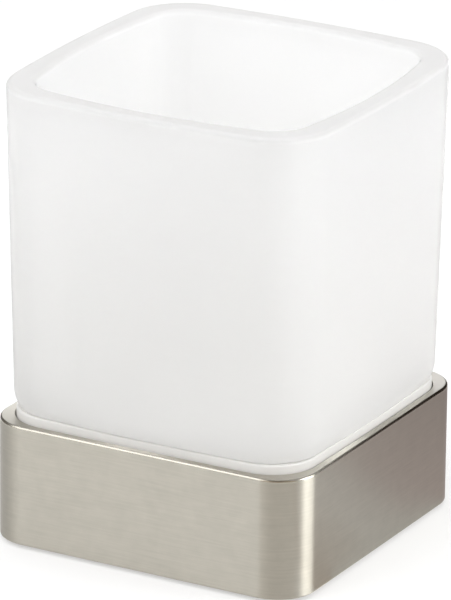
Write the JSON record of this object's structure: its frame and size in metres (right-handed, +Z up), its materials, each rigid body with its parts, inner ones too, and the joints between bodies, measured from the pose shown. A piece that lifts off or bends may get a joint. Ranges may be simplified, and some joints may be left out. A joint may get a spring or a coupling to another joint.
{
  "type": "bathroom tumbler",
  "caption": "Satin glass tumbler with convex sides standing in a square brushed metal holder with a plastic seat liner; the glass lifts out.",
  "frame": {"origin": "on the table, below the middle of the holder, at the undersides of the rubber feet", "axes": "+Z up, out of the tumbler's mouth; -Y is the front, +X the right-hand side"},
  "size_m": [0.0772, 0.0772, 0.1015],
  "materials": {
    "satin_glass": "satin, acid-etched",
    "liner_plastic": "translucent, satin",
    "brushed_metal": "horizontally brushed, warm nickel tone",
    "plate_steel": "zinc-plated sheet",
    "screw_steel": "zinc-plated",
    "foot_rubber": "matt"
  },
  "bodies": {
    "holder": {"holder_shell": "brushed_metal", "seat_liner": "liner_plastic", "bottom_plate": "plate_steel", "plate_screws": "screw_steel", "rubber_foot_front_left": "foot_rubber", "rubber_foot_front_right": "foot_rubber", "rubber_foot_back_left": "foot_rubber", "rubber_foot_back_right": "foot_rubber"},
    "tumbler": {"glass_tumbler": "satin_glass"}
  },
  "joints": [
    {"name": "tumbler_lift", "type": "slide", "parent": "holder", "child": "tumbler", "axis": [0, 0, 1], "range_m": [0, 0.04]}
  ]
}
